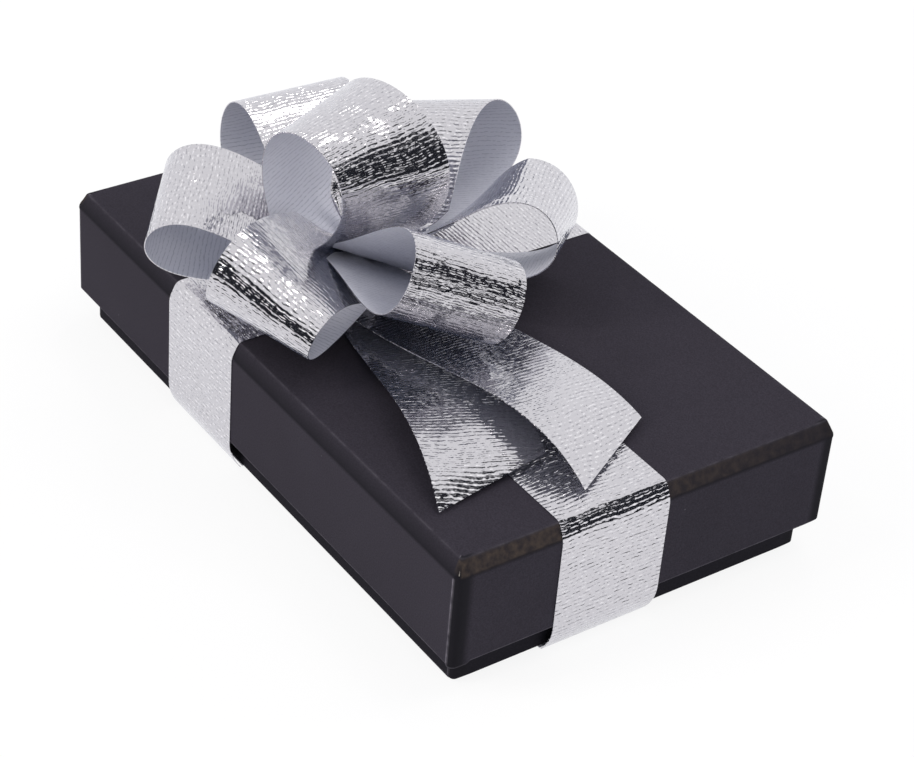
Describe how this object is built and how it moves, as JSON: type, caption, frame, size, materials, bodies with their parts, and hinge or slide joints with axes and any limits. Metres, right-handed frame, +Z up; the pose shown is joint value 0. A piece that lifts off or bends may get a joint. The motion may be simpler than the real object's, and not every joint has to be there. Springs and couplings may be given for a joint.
{
  "type": "gift box",
  "caption": "Rectangular two-part gift box with a lift-off lid, wrapped in dark paper and tied both ways with metallic ribbon under a looped bow.",
  "frame": {"origin": "on the surface the box stands on, under the middle of the box, on the underside of the lengthwise strap", "axes": "+X along the long side, towards the end that the ribbon tails point to; +Y along the short side, away from the loops that overhang; +Z up, the way the lid lifts"},
  "size_m": [0.1456, 0.1005, 0.0745],
  "materials": {
    "grey_board": "matt",
    "corner_tape": "matt",
    "black_wrap": "satin",
    "black_liner": "matt",
    "silver_ribbon": "metallised, ribbed"
  },
  "bodies": {
    "tray": {"tray_board": "grey_board", "tray_corner_stays": "corner_tape", "tray_wrap": "black_wrap", "tray_liner": "black_liner", "under_strap_long": "silver_ribbon", "under_strap_cross": "silver_ribbon"},
    "lid": {"lid_board": "grey_board", "lid_corner_stays": "corner_tape", "lid_wrap": "black_wrap", "lid_liner": "black_liner", "strap_long": "silver_ribbon", "strap_cross": "silver_ribbon", "bow_knot": "silver_ribbon", "loop_top": "silver_ribbon", "loop_back_left": "silver_ribbon", "loop_left": "silver_ribbon", "loop_front": "silver_ribbon", "loop_front_right": "silver_ribbon", "loop_right": "silver_ribbon", "loop_back_right": "silver_ribbon", "tail_left": "silver_ribbon", "tail_right": "silver_ribbon"}
  },
  "joints": [
    {"name": "lid_lift", "type": "slide", "parent": "tray", "child": "lid", "axis": [0, 0, 1], "range_m": [0, 0.06]}
  ]
}
